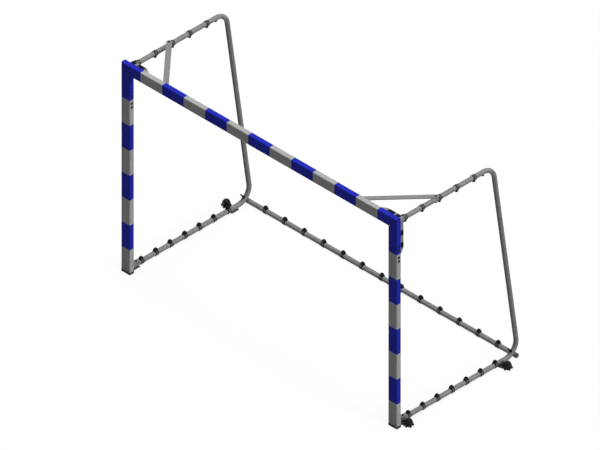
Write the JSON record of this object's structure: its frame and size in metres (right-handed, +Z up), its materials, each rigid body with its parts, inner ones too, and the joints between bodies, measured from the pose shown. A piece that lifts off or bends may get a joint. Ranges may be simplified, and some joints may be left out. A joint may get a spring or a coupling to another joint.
{
  "type": "handball goal",
  "caption": "Free-standing youth handball goal with a striped aluminium frame, bent tube net hoops, braces, a rear ground bar and star knob floor anchors, without its net.",
  "frame": {"origin": "on the floor, in the middle of the goal's footprint", "axes": "+X along the crossbar to the right post as seen from the field, +Y from the mouth to the back of the net hoops, +Z up"},
  "size_m": [2.6796, 1.1652, 1.68],
  "materials": {
    "striped_aluminium": "powder coated in white with blue stripes, satin",
    "black_plastic_cap": "matt moulded plastic",
    "cast_aluminium": "as cast",
    "galvanised_steel": "galvanised sheet",
    "galvanised_tube": "galvanised tube, dull",
    "blackened_steel": "blackened, satin",
    "black_moulded_plastic": "matt moulded plastic"
  },
  "bodies": {
    "goal_frame": {"post_left": "striped_aluminium", "foot_cap_left": "black_plastic_cap", "corner_connector_left": "cast_aluminium", "corner_bracket_left": "galvanised_steel", "foot_bracket_left": "galvanised_steel", "net_hoop_left": "galvanised_tube", "brace_left": "galvanised_tube", "clamp_stud_left": "blackened_steel", "foot_bracket_bolt_left": "blackened_steel", "foot_pivot_bolt_left": "blackened_steel", "arm_pivot_bolt_left": "blackened_steel", "brace_arm_bolt_left": "blackened_steel", "brace_bar_bolt_left": "blackened_steel", "bracket_bolt_post_upper_left": "blackened_steel", "bracket_bolt_post_lower_left": "blackened_steel", "bracket_bolt_bar_outer_left": "blackened_steel", "bracket_bolt_bar_inner_left": "blackened_steel", "side_screw_left_1": "blackened_steel", "side_screw_left_2": "blackened_steel", "side_screw_left_3": "blackened_steel", "side_screw_left_4": "blackened_steel", "post_right": "striped_aluminium", "foot_cap_right": "black_plastic_cap", "corner_connector_right": "cast_aluminium", "corner_bracket_right": "galvanised_steel", "foot_bracket_right": "galvanised_steel", "net_hoop_right": "galvanised_tube", "brace_right": "galvanised_tube", "clamp_stud_right": "blackened_steel", "foot_bracket_bolt_right": "blackened_steel", "foot_pivot_bolt_right": "blackened_steel", "arm_pivot_bolt_right": "blackened_steel", "brace_arm_bolt_right": "blackened_steel", "brace_bar_bolt_right": "blackened_steel", "bracket_bolt_post_upper_right": "blackened_steel", "bracket_bolt_post_lower_right": "blackened_steel", "bracket_bolt_bar_outer_right": "blackened_steel", "bracket_bolt_bar_inner_right": "blackened_steel", "side_screw_right_1": "blackened_steel", "side_screw_right_2": "blackened_steel", "side_screw_right_3": "blackened_steel", "side_screw_right_4": "blackened_steel", "crossbar": "striped_aluminium", "rear_ground_bar": "galvanised_tube", "anchor_plate_front_left": "galvanised_steel", "anchor_plate_front_right": "galvanised_steel", "anchor_plate_rear_left": "galvanised_steel", "anchor_plate_rear_right": "galvanised_steel"},
    "anchor_screw_front_left": {"anchor_stud_front_left": "blackened_steel"},
    "star_knob_body_front_left": {"star_knob_front_left": "black_moulded_plastic"},
    "anchor_screw_front_right": {"anchor_stud_front_right": "blackened_steel"},
    "star_knob_body_front_right": {"star_knob_front_right": "black_moulded_plastic"},
    "anchor_screw_rear_left": {"anchor_stud_rear_left": "blackened_steel"},
    "star_knob_body_rear_left": {"star_knob_rear_left": "black_moulded_plastic"},
    "anchor_screw_rear_right": {"anchor_stud_rear_right": "blackened_steel"},
    "star_knob_body_rear_right": {"star_knob_rear_right": "black_moulded_plastic"},
    "clamp_washer_body_left": {"clamp_washer_left": "blackened_steel"},
    "clamp_nut_body_left": {"clamp_nut_left": "blackened_steel"},
    "clamp_washer_body_right": {"clamp_washer_right": "blackened_steel"},
    "clamp_nut_body_right": {"clamp_nut_right": "blackened_steel"}
  },
  "joints": [
    {"name": "anchor_screw_lift_front_left", "type": "slide", "parent": "goal_frame", "child": "anchor_screw_front_left", "axis": [0, 0, 1], "range_m": [0, 0.0046]},
    {"name": "star_knob_turn_front_left", "type": "hinge", "parent": "anchor_screw_front_left", "child": "star_knob_body_front_left", "pos_m": [-1.306, -0.49763, 0.0053], "axis": [0, 0, 1], "range_deg": [0, 1080]},
    {"name": "anchor_screw_lift_front_right", "type": "slide", "parent": "goal_frame", "child": "anchor_screw_front_right", "axis": [0, 0, 1], "range_m": [0, 0.0046]},
    {"name": "star_knob_turn_front_right", "type": "hinge", "parent": "anchor_screw_front_right", "child": "star_knob_body_front_right", "pos_m": [1.306, -0.49763, 0.0053], "axis": [0, 0, 1], "range_deg": [0, 1080]},
    {"name": "anchor_screw_lift_rear_left", "type": "slide", "parent": "goal_frame", "child": "anchor_screw_rear_left", "axis": [0, 0, 1], "range_m": [0, 0.0046]},
    {"name": "star_knob_turn_rear_left", "type": "hinge", "parent": "anchor_screw_rear_left", "child": "star_knob_body_rear_left", "pos_m": [-1.306, 0.42013, 0.0053], "axis": [0, 0, 1], "range_deg": [0, 1080]},
    {"name": "anchor_screw_lift_rear_right", "type": "slide", "parent": "goal_frame", "child": "anchor_screw_rear_right", "axis": [0, 0, 1], "range_m": [0, 0.0046]},
    {"name": "star_knob_turn_rear_right", "type": "hinge", "parent": "anchor_screw_rear_right", "child": "star_knob_body_rear_right", "pos_m": [1.306, 0.42013, 0.0053], "axis": [0, 0, 1], "range_deg": [0, 1080]},
    {"name": "clamp_washer_slide_left", "type": "slide", "parent": "goal_frame", "child": "clamp_washer_body_left", "axis": [0, -0.6347, 0.7727], "range_m": [0, 0.0331]},
    {"name": "clamp_nut_turn_left", "type": "hinge", "parent": "clamp_washer_body_left", "child": "clamp_nut_body_left", "pos_m": [-1.24, 0.51479, 0.06126], "axis": [0, -0.6347, 0.7727], "range_deg": [0, 7920]},
    {"name": "clamp_washer_slide_right", "type": "slide", "parent": "goal_frame", "child": "clamp_washer_body_right", "axis": [0, -0.6347, 0.7727], "range_m": [0, 0.0331]},
    {"name": "clamp_nut_turn_right", "type": "hinge", "parent": "clamp_washer_body_right", "child": "clamp_nut_body_right", "pos_m": [1.24, 0.51479, 0.06126], "axis": [0, -0.6347, 0.7727], "range_deg": [0, 7920]}
  ],
  "couplings": [
    {"joint": "anchor_screw_lift_front_left", "follows": "star_knob_turn_front_left", "m_per_rad": 0.00023873},
    {"joint": "anchor_screw_lift_front_right", "follows": "star_knob_turn_front_right", "m_per_rad": 0.00023873},
    {"joint": "anchor_screw_lift_rear_left", "follows": "star_knob_turn_rear_left", "m_per_rad": 0.00023873},
    {"joint": "anchor_screw_lift_rear_right", "follows": "star_knob_turn_rear_right", "m_per_rad": 0.00023873},
    {"joint": "clamp_washer_slide_left", "follows": "clamp_nut_turn_left", "m_per_rad": 0.00023873},
    {"joint": "clamp_washer_slide_right", "follows": "clamp_nut_turn_right", "m_per_rad": 0.00023873}
  ]
}
